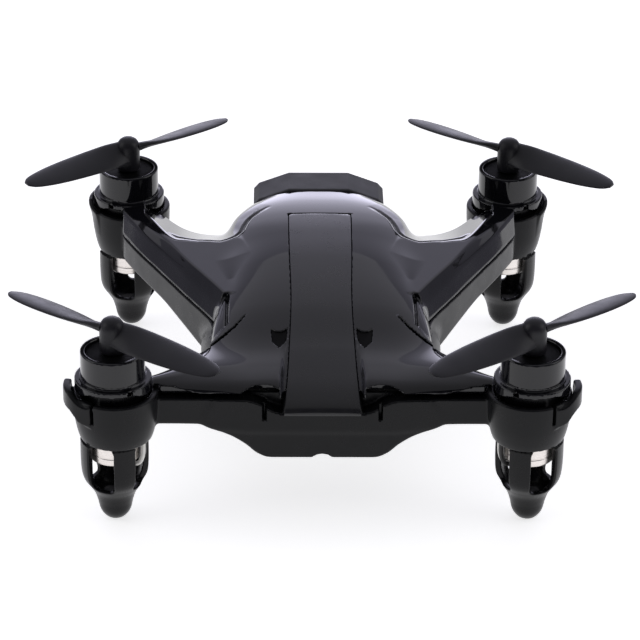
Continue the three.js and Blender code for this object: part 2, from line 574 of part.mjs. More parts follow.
function battery() {
  const { half, y0, y1, z0, z1 } = CELL;
  const round = 0.9;
  const outline = [[half - round, z0], [half, z0 + round], [half, z1 - round], [half - round, z1],
    [-half + round, z1], [-half, z1 - round], [-half, z0 + round], [-half + round, z0]];
  const cell = solid(loft([y0, y1].map((y) => outline.map(([x, z]) => [x, y, z]))));
  addNode('battery_cell', cell, finish(0x9fa4ab, 0.35, 0.3));
  for (const [name, x, color] of [['red', -0.9, 0xb01818], ['black', 0.9, 0x101012]]) {
    const route = [[x, y1 + 0.3, 17.2], [x, y1 + 1.6, 17.3], [x, y1 + 2.4, 18.2], [x, y1 + 2.5, 19.1]];
    addNode(`battery_lead_${name}`, tube(route, WIRE_R, 8), finish(color, 0.5));
  }
}

function switchAndSocket() {
  const floor = BELLY_Z + WALL + GAP;
  const housing = box(-4.0, 4.0, SWITCH_Y - 2, SWITCH_Y + 2, floor, floor + 3.2)
    .subtract(box(-3.4, 3.4, SWITCH_Y - 1.3, SWITCH_Y + 1.3, floor - 1, floor + 1.9));
  addNode('switch_housing', housing, DARK_STEEL());
  const offX = -SWITCH_TRAVEL / 2;
  const slider = box(offX - 1.6, offX + 1.6, SWITCH_Y - 1.0, SWITCH_Y + 1.0, floor + 0.2, floor + 1.6)
    .add(box(offX - 0.9, offX + 0.9, SWITCH_Y - 0.75, SWITCH_Y + 0.75, BELLY_Z - 0.7, floor + 0.4));
  addNode('switch_slider', slider, MATTE_BLACK());
  const socket = box(-3.7, 3.7, SHELL_TAIL_Y + 1.2, TAIL_Y - 0.4, SOCKET_Z - 1.4, SOCKET_Z + 1.4)
    .subtract(box(-3.3, 3.3, SHELL_TAIL_Y + 2.2, TAIL_Y + 1, SOCKET_Z - 1.05, SOCKET_Z + 1.05));
  addNode('charging_socket', socket, DARK_STEEL());
}

function screws() {
  screwPlaces().forEach(([x, y], n) => {
    const head = BELLY_Z + 0.15;
    const body = rod(1.45, head, head + 0.75, x, y, 12).add(rod(0.7, head + 0.5, 19.6, x, y, 6));
    const slot = union([box(x - 0.8, x + 0.8, y - 0.15, y + 0.15, head - 1, head + 0.35),
      box(x - 0.15, x + 0.15, y - 0.8, y + 0.8, head - 1, head + 0.35)]);
    addNode(`case_screw_${n + 1}`, body.subtract(slot), DARK_STEEL());
  });
}

// ---------------------------------------------------------------- assembly
upperShell();
shoulderVents();
lowerChassis();
tailCover();
electronics();
battery();
switchAndSocket();
screws();
for (const pod of PODS) {
  landingLeg(pod);
  motor(pod);
  motorLeads(pod);
  propeller(pod);
}

export default model;
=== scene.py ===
"""Mini palm drone: the looks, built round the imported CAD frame. Millimetres inside, metres in Blender."""

import math

import bpy
import numpy as np
from mathutils import Matrix, Vector


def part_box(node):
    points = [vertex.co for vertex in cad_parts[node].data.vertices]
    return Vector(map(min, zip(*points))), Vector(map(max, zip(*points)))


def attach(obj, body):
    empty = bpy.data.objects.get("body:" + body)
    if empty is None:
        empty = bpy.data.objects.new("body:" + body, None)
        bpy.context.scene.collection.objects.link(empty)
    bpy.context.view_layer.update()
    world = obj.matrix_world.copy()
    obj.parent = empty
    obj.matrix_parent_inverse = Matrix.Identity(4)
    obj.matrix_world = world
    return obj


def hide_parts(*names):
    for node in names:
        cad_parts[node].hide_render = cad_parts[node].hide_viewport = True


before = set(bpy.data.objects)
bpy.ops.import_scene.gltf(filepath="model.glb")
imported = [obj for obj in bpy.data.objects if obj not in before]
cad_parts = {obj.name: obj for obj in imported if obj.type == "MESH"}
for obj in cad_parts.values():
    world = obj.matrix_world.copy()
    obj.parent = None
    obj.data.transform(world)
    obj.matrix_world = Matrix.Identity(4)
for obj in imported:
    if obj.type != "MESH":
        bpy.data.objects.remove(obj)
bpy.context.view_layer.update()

# ---------------------------------------------------------------- driving dimensions
MM = 0.001


def cad(node):
    """Lowest and highest corner of a CAD node, in mm."""
    low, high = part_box(node)
    return np.array(low) / MM, np.array(high) / MM


CAN_LOW_CORNER, CAN_HIGH_CORNER = cad("motor_can_fr")
POD = (CAN_LOW_CORNER[0] + CAN_HIGH_CORNER[0]) / 2   # motor axes stand at (+-POD, +-POD)
CAN_R = 3.5
CAN_LOW, CAN_TOP = CAN_LOW_CORNER[2], CAN_HIGH_CORNER[2]
RING_TOP = cad("upper_shell")[1][2]
BELLY_Z = cad("lower_chassis")[0][2]
TAIL_TOP = cad("tail_cover")[1][2]
TAIL_Y0, TAIL_Y1 = cad("tail_cover")[0][1], cad("tail_cover")[1][1]
HUB_TOP = cad("propeller_fr")[1][2]
HUB_LOW = cad("propeller_fr")[0][2]
LEG_TOP = cad("landing_leg_fr")[1][2]

SPLIT_Z = 19.2                 # seam between shell and chassis
SEAM = 0.2
SHELL_TAIL_Y = 23.6
NOSE_Y = -29.6
LIP_Y = -30.4                  # the tongue of the nose ends here
TRIM_TAIL_Y = cad("spine_trim")[1][1]
WALL = 1.1
NOSE_WALL = 3.4                # solid nose behind the eye hollows
SPRING_Z = 19.8                # the arch of the shell springs from here
CUP_SHIFT = 0.3
CUP_LOW = 13.1
CUP_RIM = 20.3
RING_R, RING_BORE = 4.45, 3.75
COLLAR_R, COLLAR_LOW, COLLAR_TOP = 5.3, 21.6, 22.4
SLEEVE_BORE, CUP_BORE = 4.6, 5.0   # seats of leg and cup, as radii
LEG_REACH = 4.8
LEAD_R, LEAD_ORBIT = 0.32, 4.15      # motor leads, and where they climb beside the can
LEAD_SIDE = 0.45               # each lead's offset from the middle of its pair
SHELL_CELL = 0.24              # grid of the large mouldings
FINE_CELL = 0.16               # grid of the small ones
GRADIENT_STEP = 0.03
EVEN_ROUNDS = 2                # passes that even out a moulding's points
TUBE_SIDES, TUBE_STEPS = 14, 9

PODS = [("fl", -1, -1), ("fr", 1, -1), ("rl", -1, 1), ("rr", 1, 1)]
BODY_OF_POD = {"fl": "rotor_front_left", "fr": "rotor_front_right",
               "rl": "rotor_rear_left", "rr": "rotor_rear_right"}


# ---------------------------------------------------------------- fields: negative inside, about mm
def curve(*points):
    """Smooth curve through (position, value) points, as a function of an array."""
    xs, ys = np.array(points, float).T
    ahead = np.append(np.arange(1, len(xs)), len(xs) - 1)
    behind = np.append(0, np.arange(len(xs) - 1))
    slope = (ys[ahead] - ys[behind]) / (xs[ahead] - xs[behind])

    def value(at):
        at = np.clip(at, xs[0], xs[-1])
        k = np.clip(np.searchsorted(xs, at) - 1, 0, len(xs) - 2)
        span = xs[k + 1] - xs[k]
        t = (at - xs[k]) / span
        ease = t * t * (3 - 2 * t)
        bend = (t - 2 * t**2 + t**3) * slope[k] + (t**3 - t**2) * slope[k + 1]
        return ys[k] + (ys[k + 1] - ys[k]) * ease + bend * span

    return value


def smax(a, b, k):
    """Larger of two fields, with a round of about k where they meet."""
    h = np.clip(0.5 + 0.5 * (a - b) / k, 0, 1)
    return b + (a - b) * h + k * h * (1 - h)


def smin(a, b, k):
    return -smax(-a, -b, k)


def meet(k, *fields):
    out = fields[0]
    for f in fields[1:]:
        out = smax(out, f, k)
    return out


def relu(v, k):
    """Zero below 0 and v above, with a round of k between."""
    return smax(v, 0 * v, k)


def beside_path(x, y, points):
    """Signed distance from a line in plan, positive on its left, and how far along it, from 0 to 1."""
    best = np.full(np.broadcast(x, y).shape, 1e9)
    signed, along = np.zeros_like(best), np.zeros_like(best)
    for n, ((ax, ay), (bx, by)) in enumerate(zip(points, points[1:])):
        ex, ey = bx - ax, by - ay
        t = np.clip(((x - ax) * ex + (y - ay) * ey) / (ex * ex + ey * ey), 0, 1)
        gap = (x - ax - ex * t) ** 2 + (y - ay - ey * t) ** 2
        near = gap < best
        left = np.where(ex * (y - ay) > ey * (x - ax), 1, -1)
        best = np.where(near, gap, best)
        signed = np.where(near, left * np.sqrt(gap), signed)
        along = np.where(near, (n + t) / (len(points) - 1), along)
    return signed, along


def polygon(x, y, corners):
    """Signed distance to a closed polygon."""
    best = np.full(np.broadcast(x, y).shape, 1e9)
    sign = np.ones_like(best)
    for (ax, ay), (bx, by) in zip(corners, corners[1:] + corners[:1]):
        ex, ey = bx - ax, by - ay
        wx, wy = x - ax, y - ay
        t = np.clip((wx * ex + wy * ey) / (ex * ex + ey * ey), 0, 1)
        best = np.minimum(best, (wx - ex * t) ** 2 + (wy - ey * t) ** 2)
        above, below = y >= ay, y < by
        left = ex * wy > ey * wx
        flip = (above & below & left) | (~above & ~below & ~left)
        sign = np.where(flip, -sign, sign)
    return sign * np.sqrt(best)


def surface(field, low, high, cell):
    """Quads on the zero surface of a field: surface nets, then steps along the gradient."""
    axes = [np.arange(a - 2 * cell, b + 2.5 * cell, cell) for a, b in zip(low, high)]
    grid = np.meshgrid(*axes, indexing="ij", sparse=True)
    shape = tuple(len(a) for a in axes)
    v = np.broadcast_to(field(*grid), shape).astype(np.float32)
    inside = v < 0
    corners = np.array([(i, j, k) for i in (0, 1) for j in (0, 1) for k in (0, 1)])
    count = sum(inside[i:shape[0] - 1 + i, j:shape[1] - 1 + j, k:shape[2] - 1 + k].astype(np.int8)
                for i, j, k in corners)
    cells = np.argwhere((count > 0) & (count < 8))
    at = cells[:, None, :] + corners[None]
    vals = v[at[..., 0], at[..., 1], at[..., 2]]
    total = np.zeros((len(cells), 3))
    hits = np.zeros(len(cells))
    for a in range(8):
        for b in range(a + 1, 8):
            if np.abs(corners[a] - corners[b]).sum() != 1:
                continue
            cross = (vals[:, a] < 0) != (vals[:, b] < 0)
            t = vals[:, a] / np.where(cross, vals[:, a] - vals[:, b], 1)
            point = corners[a] + t[:, None] * (corners[b] - corners[a])
            total += np.where(cross[:, None], point, 0)
            hits += cross
    points = np.array([a[0] for a in axes]) + (cells + total / hits[:, None]) * cell
    number = np.full(tuple(n - 1 for n in shape), -1, np.int32)
    number[tuple(cells.T)] = np.arange(len(cells))
    quads = []
    for axis in range(3):
        u, w = (axis + 1) % 3, (axis + 2) % 3
        first = [slice(1, n - 1) for n in shape]
        first[axis] = slice(0, shape[axis] - 1)
        second = list(first)
        second[axis] = slice(1, shape[axis])
        change = inside[tuple(first)] != inside[tuple(second)]
        where = np.argwhere(change) + np.array([0 if n == axis else 1 for n in range(3)])
        ring = []
        for du, dw in ((0, 0), (-1, 0), (-1, -1), (0, -1)):
            move = np.zeros(3, int)
            move[u], move[w] = du, dw
            ring.append(number[tuple((where + move).T)])
        ring = np.stack(ring, 1)
        outward = inside[tuple(where.T)]
        quads.append(np.where(outward[:, None], ring, ring[:, ::-1]))
    quads = np.concatenate(quads)
    return points, quads


def gradient(field, p):
    columns = []
    for axis in range(3):
        step = np.zeros(3)
        step[axis] = GRADIENT_STEP
        a, b = p + step, p - step
        columns.append((field(*a.T) - field(*b.T)) / (2 * GRADIENT_STEP))
    return np.stack(columns, 1)


def settle(points, quads, field, cell):
    """Even out the points along the surface and bring them exactly onto it."""
    edges = np.concatenate([quads[:, [i, (i + 1) % 4]] for i in range(4)])
    degree = np.bincount(edges.ravel(), minlength=len(points))[:, None]

    def onto(p):
        g = gradient(field, p)
        step = field(*p.T)[:, None] * g / np.maximum((g * g).sum(1), 1e-3)[:, None]
        length = np.linalg.norm(step, axis=1)[:, None]
        return p - step * np.minimum(1, 0.4 * cell / np.maximum(length, 1e-9))

    for _ in range(EVEN_ROUNDS):
        total = np.zeros_like(points)
        for a, b in ((0, 1), (1, 0)):
            for k in range(3):
                total[:, k] += np.bincount(edges[:, a], points[edges[:, b], k], len(points))
        points = onto(0.5 * points + 0.5 * total / np.maximum(degree, 1))
    points = onto(onto(points))
    normals = gradient(field, points)
    return points, normals / np.maximum(np.linalg.norm(normals, axis=1), 1e-9)[:, None]


# ---------------------------------------------------------------- pieces
def piece(name, points, faces, body, material, nodes, normals=None, crease=35):
    mesh = bpy.data.meshes.new(name)
    mesh.from_pydata((np.asarray(points) * MM).tolist(), [], [list(map(int, f)) for f in faces])
    mesh.validate()
    mesh.shade_smooth()
    if normals is None:
        mesh.set_sharp_from_angle(angle=math.radians(crease))
    else:
        mesh.normals_split_custom_set_from_vertices(np.asarray(normals).tolist())
    mesh.materials.append(material)
    obj = bpy.data.objects.new(name, mesh)
    bpy.context.scene.collection.objects.link(obj)
    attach(obj, body)
    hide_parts(*nodes)
    return obj


def moulded(name, field, low, high, cell, body, material, nodes):
    points, quads = surface(field, low, high, cell)
    points, normals = settle(points, quads, field, cell)
    return piece(name, points, quads, body, material, nodes, normals)


def loft(rings):
    """Points and faces of a body through rings of equal count, closed at both ends."""
    count = len(rings[0])
    points = [p for ring in rings for p in ring]
    faces = []
    for r in range(len(rings) - 1):
        for i in range(count):
            j = (i + 1) % count
            faces.append((r * count + i, r * count + j, (r + 1) * count + j, (r + 1) * count + i))
    faces.append(tuple(reversed(range(count))))
    faces.append(tuple((len(rings) - 1) * count + i for i in range(count)))
    return points, outward(points, faces)


def outward(points, faces):
    """The faces, turned to look out of the body."""
    p = np.asarray(points, float)
    volume = 0.0
    for f in faces:
        a = p[f[0]]
        for i in range(1, len(f) - 1):
            volume += np.dot(a, np.cross(p[f[i]], p[f[i + 1]]))
    return faces if volume > 0 else [tuple(reversed(f)) for f in faces]


def lathe(profile, x, y, segments=56):
    """Body of a closed (radius, z) profile about a vertical axis."""
    angles = np.arange(segments) * 2 * math.pi / segments
    points, faces = [], []
    start = []
    for r, z in profile:
        start.append(len(points))
        if r < 1e-6:
            points.append((x, y, z))
        else:
            points += [(x + r * math.cos(a), y + r * math.sin(a), z) for a in angles]
    pairs = list(range(len(profile) - 1))
    closed = profile[0][0] > 1e-6
    for k in pairs + ([len(profile) - 1] if closed else []):
        n = (k + 1) % len(profile)
        flat_k, flat_n = profile[k][0] < 1e-6, profile[n][0] < 1e-6
        for i in range(segments):
            j = (i + 1) % segments
            if flat_k and flat_n:
                continue
            if flat_k:
                faces.append((start[k], start[n] + i, start[n] + j))
            elif flat_n:
                faces.append((start[k] + i, start[n], start[k] + j))
            else:
                faces.append((start[k] + i, start[n] + i, start[n] + j, start[k] + j))
    return points, outward(points, faces)


def tube(route, radius):
    """Round tube along a smooth curve through points, with domed ends."""
    route = [np.array(p, float) for p in route]
    line = []
    padded = [2 * route[0] - route[1], *route, 2 * route[-1] - route[-2]]
    for a, b, c, d in zip(padded, padded[1:], padded[2:], padded[3:]):
        for s in np.arange(TUBE_STEPS) / TUBE_STEPS:
            line.append(0.5 * (2 * b + (c - a) * s + (2 * a - 5 * b + 4 * c - d) * s**2
                               + (3 * b - a - 3 * c + d) * s**3))
    line.append(route[-1])
    tangent = np.gradient(np.array(line), axis=0)
    tangent /= np.linalg.norm(tangent, axis=1)[:, None]
    side = np.cross(tangent[0], [0.31, 0.24, 0.92])
    rings = []
    for n, (p, t) in enumerate(zip(line, tangent)):
        side = side - t * np.dot(side, t)
        side /= np.linalg.norm(side)
        other = np.cross(t, side)
        for scale, shift in {0: [(0.5, -0.35), (0.88, -0.15), (1, 0)],
                             len(line) - 1: [(1, 0), (0.88, 0.15), (0.5, 0.35)]}.get(n, [(1, 0)]):
            rings.append([p + t * shift * radius
                          + radius * scale * (side * math.cos(a) + other * math.sin(a))
                          for a in np.arange(TUBE_SIDES) * 2 * math.pi / TUBE_SIDES])
    return loft(rings)


def dress(node, material, bevel=0.0):
    """Better material, and rounded edges, on a CAD node whose shape is right."""
    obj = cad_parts[node]
    obj.data.materials.clear()
    obj.data.materials.append(material)
    if bevel:
        mod = obj.modifiers.new("edges", "BEVEL")
        mod.width = bevel * MM
        mod.segments = 2
        mod.limit_method = "ANGLE"
        mod.angle_limit = math.radians(40)
        mod.use_clamp_overlap = True


# ---------------------------------------------------------------- materials
class Nodes:
    """A material's node tree, with short calls for the nodes used here."""

    def __init__(self, name):
        self.material = bpy.data.materials.new(name)
        self.material.use_nodes = True
        self.tree = self.material.node_tree
        self.shader = self.tree.nodes["Principled BSDF"]
        self.place = self.tree.nodes.new("ShaderNodeTexCoord").outputs["Object"]

    def link(self, a, b):
        self.tree.links.new(a, b)

    def scaled(self, factors):
        node = self.tree.nodes.new("ShaderNodeMapping")
        node.inputs["Scale"].default_value = factors
        self.link(self.place, node.inputs["Vector"])
        return node.outputs["Vector"]

    def noise(self, scale, detail=3.0, factors=None):
        """scale is features per metre."""
        node = self.tree.nodes.new("ShaderNodeTexNoise")
        node.inputs["Scale"].default_value = scale
        node.inputs["Detail"].default_value = detail
        self.link(self.scaled(factors) if factors else self.place, node.inputs["Vector"])
        return node.outputs["Fac"]

    def spread(self, value, low, high):
        """The middle of a noise value, stretched to run from low to high."""
        node = self.tree.nodes.new("ShaderNodeMapRange")
        node.inputs["From Min"].default_value = 0.3
        node.inputs["From Max"].default_value = 0.7
        node.inputs["To Min"].default_value = low
        node.inputs["To Max"].default_value = high
        self.link(value, node.inputs["Value"])
        return node.outputs["Result"]

    def ramp(self, value, *stops):
        node = self.tree.nodes.new("ShaderNodeValToRGB")
        elements = node.color_ramp.elements
        while len(elements) < len(stops):
            elements.new(0.5)
        for element, (position, color) in zip(elements, stops):
            element.position = position
            element.color = (*color, 1)
        self.link(value, node.inputs["Fac"])
        return node.outputs["Color"]

    def bump(self, value, strength, distance):
        node = self.tree.nodes.new("ShaderNodeBump")
        node.inputs["Strength"].default_value = strength
        node.inputs["Distance"].default_value = distance * MM
        self.link(value, node.inputs["Height"])
        self.link(node.outputs["Normal"], self.shader.inputs["Normal"])

    def set(self, **values):
        for key, value in values.items():
            self.shader.inputs[key.replace("_", " ")].default_value = value


def plastic(name, color, roughness, grain=0.02, grain_scale=9000, coat=0.0, spread=0.05, ior=1.5):
    """Moulded plastic: slight flow marks in tone, uneven polish and a fine surface grain."""
    m = Nodes(name)
    flow = m.noise(60, 4)
    dark = tuple(c * 0.82 for c in color)
    light = tuple(min(1, c * 1.2 + 0.0008) for c in color)
    m.link(m.ramp(flow, (0.3, dark), (0.7, light)), m.shader.inputs["Base Color"])
    polish = m.noise(420, 5)
    m.link(m.spread(polish, max(0, roughness - spread), roughness + spread), m.shader.inputs["Roughness"])
    m.bump(m.noise(grain_scale, 2), grain, 0.05)
    m.set(IOR=ior, Coat_Weight=coat, Coat_Roughness=0.03)
    return m.material


def metal(name, color, roughness, factors=(60, 60, 9000)):
    """Turned or plated metal: fine lines round the axis and a little tarnish."""
    m = Nodes(name)
    tone = m.noise(220, 4)
    dull = tuple(c * 0.84 for c in color)
    m.link(m.ramp(tone, (0.3, dull), (0.7, color)), m.shader.inputs["Base Color"])
    lines = m.noise(1.0, 3, factors)
    m.link(m.spread(lines, roughness - 0.06, roughness + 0.08), m.shader.inputs["Roughness"])
    m.bump(lines, 0.12, 0.02)
    m.set(Metallic=1.0)
    return m.material


def board_material():
    m = Nodes("board_green")
    copper = m.noise(700, 1, (1, 1, 0.01))
    base = m.ramp(copper, (0.46, (0.006, 0.06, 0.032)), (0.5, (0.014, 0.12, 0.06)))
    m.link(base, m.shader.inputs["Base Color"])
    m.link(m.spread(m.noise(300), 0.25, 0.4), m.shader.inputs["Roughness"])
    m.bump(copper, 0.3, 0.03)
    return m.material


def foil_material():
    m = Nodes("cell_foil")
    wrinkle = m.noise(160, 5)
    m.link(m.ramp(wrinkle, (0.3, (0.5, 0.52, 0.56)), (0.7, (0.7, 0.71, 0.74))), m.shader.inputs["Base Color"])
    m.link(m.spread(wrinkle, 0.25, 0.45), m.shader.inputs["Roughness"])
    m.bump(wrinkle, 0.5, 0.25)
    m.set(Metallic=0.85)
    return m.material


GLOSS = plastic("shell_gloss", (0.0045, 0.0045, 0.0062), 0.07, 0.004, 1500, 0.3, 0.03, ior=1.39)
CHASSIS = plastic("chassis_satin", (0.0042, 0.0044, 0.0052), 0.3, 0.03, 7000, ior=1.29)
LEG = plastic("leg_satin", (0.0035, 0.0035, 0.0043), 0.27, 0.03, 7000, ior=1.3)
TRIM = plastic("trim_satin", (0.009, 0.009, 0.0105), 0.3, 0.03, 8000, ior=1.52)
TAIL = plastic("tail_matte", (0.032, 0.032, 0.036), 0.55, 0.12, 6000)
BLADE = plastic("blade_black", (0.0125, 0.0122, 0.0155), 0.42, 0.05, 6000, ior=1.38)
VENT = plastic("vent_black", (0.0012, 0.0012, 0.0014), 0.6, 0.05, ior=1.2)
CAP = plastic("cap_black", (0.012, 0.012, 0.013), 0.45, 0.05)
CHIP = plastic("chip_black", (0.016, 0.016, 0.017), 0.5, 0.08)
PLUG = plastic("plug_cream", (0.72, 0.68, 0.58), 0.4, 0.03)
RED = plastic("lead_red", (0.42, 0.015, 0.012), 0.42, 0.03)
BLACK = plastic("lead_black", (0.008, 0.008, 0.008), 0.42, 0.03)
WHITE = plastic("lead_white", (0.78, 0.77, 0.73), 0.42, 0.03)
CAN = metal("can_steel", (0.86, 0.81, 0.77), 0.3)
SHAFT = metal("shaft_steel", (0.6, 0.6, 0.62), 0.3)
SCREW = metal("screw_steel", (0.2, 0.2, 0.21), 0.38, (900, 900, 900))
PLATED = metal("plated_steel", (0.62, 0.62, 0.63), 0.35, (900, 900, 900))

# ---------------------------------------------------------------- body curves
half_width = curve((-29.6, 13.2), (-24, 14.2), (-16, 15.6), (-9, 15.4), (-2, 14.6), (6, 13.8),
                   (13, 13.9), (18, 13.6), (21, 12.4), (23.6, 10.6))
tub_flare = curve((-29.6, 2.8), (-22, 1.2), (-14, 1.0), (-8, 1.8), (0, 1.6), (10, 0.8), (23.6, 0.4))
HOOD = [(-29.6, 20.3), (-27, 20.9), (-24, 21.3), (-19.8, 21.9), (-10.5, 24.3), (0, 25.8),
        (8, 26.2), (14, 26.1), (19, 25.7), (23.6, 25.0)]
hood_z = curve(*HOOD)
tongue_z = curve((-30.4, 17.7), (-29.4, 18.5), (-27, 19.7), (-24, 20.7), *HOOD[3:])
trim_half = curve((-30.4, 5.3), (-26, 4.9), (-20, 4.6), (-10, 4.3), (2, 4.5), (14, 4.6), (23.6, 4.6))

# rails of the arms at the seam, over |x|
front_inner = curve((8, -13.2), (10, -14), (14, -16), (17.5, -19.4), (20.5, -23), (23.4, -25.4), (28, -27.6))
front_top = curve((10, 21.0), (14, 21.5), (17.5, 21.7), (20.5, 21.9), (23.4, 22.1), (28, 22.2))
rear_outer = curve((12, -14.6), (15.4, -7.6), (17.3, -3.9), (20.2, 1.5), (23.4, 7.7), (27.3, 15.2),
                   (31, 23.4))
rear_inner = curve((7, 12), (11, 17.6), (14.6, 18.4), (18, 19.2), (20.8, 21.4), (24.6, 27), (26.2, 29.4))
rear_top = curve((10, 23.4), (15, 23.3), (18.9, 23.2), (22, 23.0), (25, 22.6), (29, 22.3))
front_keel = curve((10, 14.2), (14, 14.6), (17.5, 15.0), (28, 15.0))
rear_keel = curve((10, 12.4), (15, 12.6), (17.4, 13.2), (20.2, 14.2), (23.4, 15.0), (31, 15.2))

# creases drawn in the shell, in plan
BROW = [(7.2, 17.8), (8.8, 16.5), (10.3, 15.1), (11.0, 13.5), (11.4, 12.0), (12.4, 11.0), (14.7, 10.7),
        (17.6, 11.2), (19.7, 12.1), (21.1, 13.1), (22.4, 14.6)]
SLASH = [(10.7, -12.4), (12.2, -14.5), (13.6, -15.9), (15, -17.1), (16.2, -17.8), (18.0, -19.5)]
back_slope = curve((12, 0.4), (18, 0.4), (21, 0.46), (24, 0.52), (28, 0.52))
undercut_top = curve((12, 19.9), (17, 19.9), (21, 20.6), (25, 20.9))
shoulder_slope = curve((10, 1.5), (15, 1.4), (18.9, 1.2), (21.9, 0.8), (25, 0.5), (29, 0.4))


def rail_slope(rail, x):
    return np.sqrt(1 + ((rail(x + 0.1) - rail(x - 0.1)) / 0.2) ** 2)


def body_arch(ax, y, z, inset=0.0):
    half = half_width(y) - inset
    rise = np.maximum(hood_z(y) - SPRING_Z - 1.5 * inset, 0.05)
    u = ax / half
    w = np.maximum(z - SPRING_Z, 0) / rise
    g = u**2.78 + w**2.5 - 1
    turn = np.sqrt((2.78 * u**1.78 / half) ** 2 + (2.5 * w**1.5 / rise) ** 2)
    return np.maximum(g / (turn + 0.04), -6)


def rolled(ahead, z, top, reach):
    """A top that rolls over, in the given reach, to an upright front."""
    u = np.clip(1 - ahead / reach, 0, 2)
    w = np.maximum(z - SPLIT_Z, 0) / (top - SPLIT_Z)
    turn = np.sqrt((2.3 * u**1.3 / reach) ** 2 + (2.3 * w**1.3 / (top - SPLIT_Z)) ** 2)
    return np.maximum((u**2.3 + w**2.3 - 1) / (turn + 0.05), -6)


def front_arm_top(ax, y, z):
    ahead = y - NOSE_Y
    inner = front_inner(ax)
    behind = (inner - y) / rail_slope(front_inner, ax)
    across = np.clip((ahead / (inner - NOSE_Y) - 0.35) / 0.65, 0, 1)
    top = front_top(ax) - (front_top(ax) - 20.6) * across**1.6
    return meet(0.25, rolled(ahead, z, top, 7.5), -behind, ax - 29)


def rear_arm_top(ax, y, z):
    outer = (y - rear_outer(ax)) / rail_slope(rear_outer, ax)
    inner = (rear_inner(ax) - y) / rail_slope(rear_inner, ax)
    chamfer = (z - (SPLIT_Z + 2.6 * outer)) / 2.79
    steep = shoulder_slope(ax)
    shoulder = (z - (22.0 + steep * (outer - 1.08))) / np.sqrt(1 + steep**2)
    crown = z - rear_top(ax)
    fall = back_slope(ax)
    back = (z - (20.1 + fall * inner)) / np.sqrt(1 + fall**2)
    root = (-6.0 - 2 * relu(ax - 13.9, 0.3) - y) / 2
    return meet(0.2, chamfer, shoulder, smax(crown, -outer, 0.4), back, -inner, root, ax - 29.5)


def around(ax, y, sy, shift=0.0):
    return np.sqrt((ax - (POD - shift)) ** 2 + (y - sy * POD) ** 2)


def clip_angle(ax, y, sy):
    """Degrees round a pod from outboard, positive towards the nose."""
    return np.degrees(np.arctan2(-(y - sy * POD), ax - POD))


SCOOP_X, SCOOP_Y, SCOOP_HALF = 6.0, -17.8, 1.15
SCOOP_OUTLINE = [(SCOOP_X, SCOOP_Y - 2), (SCOOP_X + 0.95, SCOOP_Y - 0.5), (SCOOP_X + SCOOP_HALF, SCOOP_Y + 2),
                 (SCOOP_X + 0.5, SCOOP_Y + 1.45), (SCOOP_X, SCOOP_Y + 1.4),
                 (SCOOP_X - 0.5, SCOOP_Y + 1.45), (SCOOP_X - SCOOP_HALF, SCOOP_Y + 2),
                 (SCOOP_X - 0.95, SCOOP_Y - 0.5)]
eye_roof = curve((6, 20.3), (7.5, 20.6), (9.5, 20.5), (11, 20.0), (12.3, 19.25))


def cheek_depth(ax, y):
    """Flank between the slash and the rear arm: a groove along its top, and a slight recess below it."""
    ends = np.clip((y + 15.8 - 0.9 * (15.5 - ax)) / 0.4, 0, 1) * np.clip((-5.6 - y) / 0.4, 0, 1)
    return ends * (0.12 * np.clip((ax - 13.4) / 0.3, 0, 1) + 0.5 * np.exp(-(((ax - 13.4) / 0.2) ** 2)))


